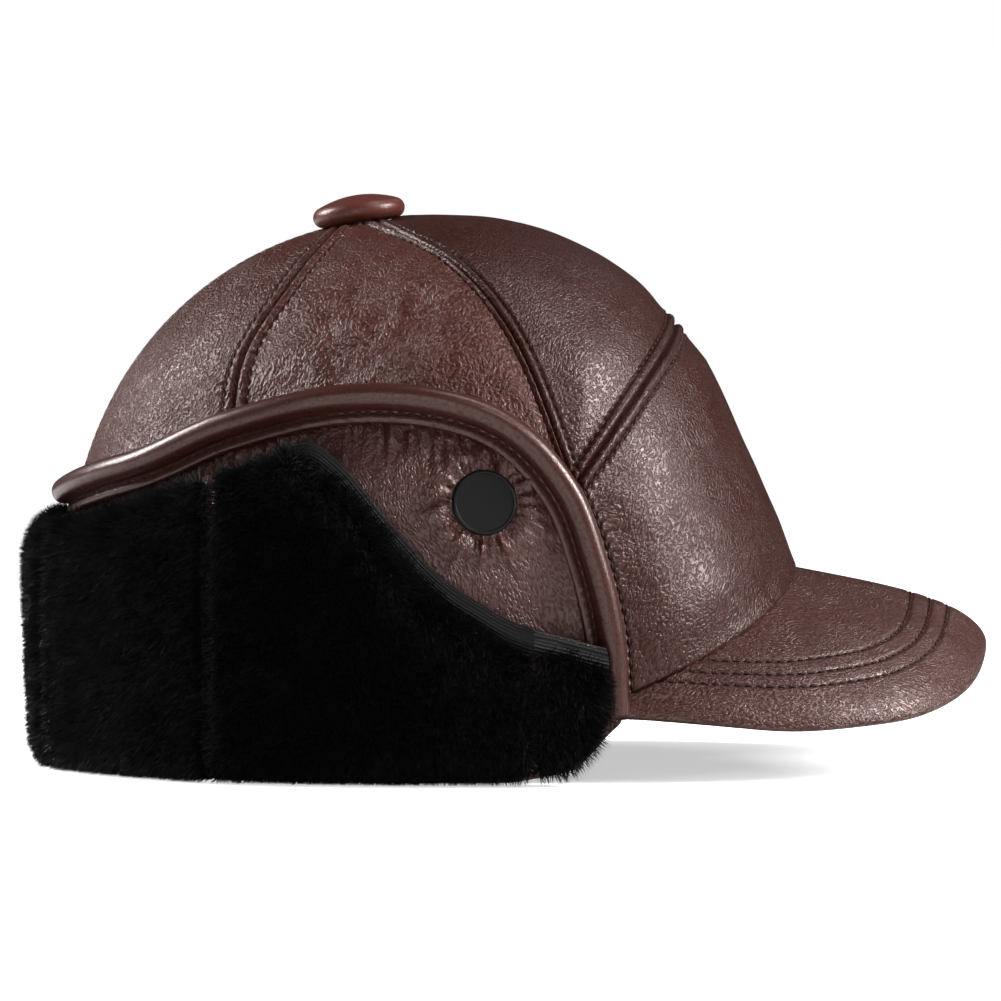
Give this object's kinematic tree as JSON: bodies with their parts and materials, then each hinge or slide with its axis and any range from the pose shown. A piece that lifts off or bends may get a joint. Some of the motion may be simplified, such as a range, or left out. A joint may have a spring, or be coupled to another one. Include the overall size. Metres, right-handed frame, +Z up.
{
  "type": "trapper hat",
  "caption": "Leather trapper hat with a panelled crown, stiff arched brim, rolled edge over the ears and a fur cuff that turns down over ears and nape.",
  "frame": {"origin": "on the standing surface, under the centre of the whole hat's outline with the cuff turned up", "axes": "+X forward along the brim, +Y to the wearer's left, +Z up through the crown"},
  "size_m": [0.2827, 0.2078, 0.1671],
  "materials": {
    "crown_leather": "full-grain, pebbled, semi-gloss, dark reddish brown",
    "brim_leather": "full-grain, pebbled, semi-gloss, dark reddish brown",
    "edge_leather": "smooth rolled leather over cord, glossy",
    "band_leather": "full-grain, padded, gathered at its seams",
    "flap_leather": "full-grain, semi-gloss",
    "under_leather": "smooth, matt",
    "button_leather": "smooth leather stretched over a form",
    "black_fur": "dense short faux fur, matt black",
    "tape": "woven binding tape, black",
    "lining": "plain woven lining",
    "padding": "thin wadding",
    "stiffener": "stiffened open-weave cloth",
    "board": "flexible brim board",
    "disc": "black, brushed face, satin",
    "metal": "plain"
  },
  "bodies": {
    "root": {"forehead_panel": "crown_leather", "top_front_panel": "crown_leather", "side_panel_right": "crown_leather", "side_panel_left": "crown_leather", "back_panel_right": "crown_leather", "back_panel_left": "crown_leather", "forehead_stiffener": "stiffener", "crown_padding": "padding", "crown_lining": "lining", "sweatband": "under_leather", "crown_button": "button_leather", "button_rivet": "metal", "brim_top_leather": "brim_leather", "brim_board": "board", "brim_under_leather": "under_leather", "rolled_edge_right": "edge_leather", "rolled_edge_left": "edge_leather", "ear_panel_right": "band_leather", "ear_panel_left": "band_leather", "nape_panel": "band_leather", "band_fur_lining": "black_fur", "ear_disc_right": "disc", "ear_disc_left": "disc", "disc_washer_right": "metal", "disc_washer_left": "metal"},
    "nape_flap": {"nape_flap_fur": "black_fur", "nape_flap_leather": "flap_leather"},
    "rear_flap_right": {"rear_flap_fur_right": "black_fur", "rear_flap_leather_right": "flap_leather"},
    "rear_flap_left": {"rear_flap_fur_left": "black_fur", "rear_flap_leather_left": "flap_leather"},
    "ear_flap_right": {"ear_flap_fur_right": "black_fur", "ear_flap_leather_right": "flap_leather", "ear_flap_tape_right": "tape"},
    "ear_flap_left": {"ear_flap_fur_left": "black_fur", "ear_flap_leather_left": "flap_leather", "ear_flap_tape_left": "tape"},
    "temple_flap_right": {"temple_flap_fur_right": "black_fur", "temple_flap_leather_right": "flap_leather", "temple_flap_tape_right": "tape"},
    "temple_flap_left": {"temple_flap_fur_left": "black_fur", "temple_flap_leather_left": "flap_leather", "temple_flap_tape_left": "tape"}
  },
  "joints": [
    {"name": "nape_flap_turn", "type": "hinge", "parent": "root", "child": "nape_flap", "pos_m": [-0.1267, 0, 0], "axis": [0, -1, 0], "range_deg": [0, 180]},
    {"name": "rear_flap_turn_right", "type": "hinge", "parent": "root", "child": "rear_flap_right", "pos_m": [-0.09302, -0.06574, 0], "axis": [0.6691, -0.7431, 0], "range_deg": [0, 180]},
    {"name": "rear_flap_turn_left", "type": "hinge", "parent": "root", "child": "rear_flap_left", "pos_m": [-0.09302, 0.06574, 0], "axis": [-0.6691, -0.7431, 0], "range_deg": [0, 180]},
    {"name": "ear_flap_turn_right", "type": "hinge", "parent": "root", "child": "ear_flap_right", "pos_m": [-0.03213, -0.08628, 0], "axis": [0.9903, -0.1392, 0], "range_deg": [0, 180]},
    {"name": "ear_flap_turn_left", "type": "hinge", "parent": "root", "child": "ear_flap_left", "pos_m": [-0.03213, 0.08628, 0], "axis": [-0.9903, -0.1392, 0], "range_deg": [0, 180]},
    {"name": "temple_flap_turn_right", "type": "hinge", "parent": "root", "child": "temple_flap_right", "pos_m": [0.00969, -0.09137, 0], "axis": [0.9511, 0.309, 0], "range_deg": [0, 180]},
    {"name": "temple_flap_turn_left", "type": "hinge", "parent": "root", "child": "temple_flap_left", "pos_m": [0.00969, 0.09137, 0], "axis": [-0.9511, 0.309, 0], "range_deg": [0, 180]}
  ],
  "couplings": [
    {"joint": "rear_flap_turn_right", "follows": "nape_flap_turn", "ratio": 1},
    {"joint": "rear_flap_turn_left", "follows": "nape_flap_turn", "ratio": 1},
    {"joint": "ear_flap_turn_right", "follows": "nape_flap_turn", "ratio": 1},
    {"joint": "ear_flap_turn_left", "follows": "nape_flap_turn", "ratio": 1},
    {"joint": "temple_flap_turn_right", "follows": "nape_flap_turn", "ratio": 1},
    {"joint": "temple_flap_turn_left", "follows": "nape_flap_turn", "ratio": 1}
  ]
}
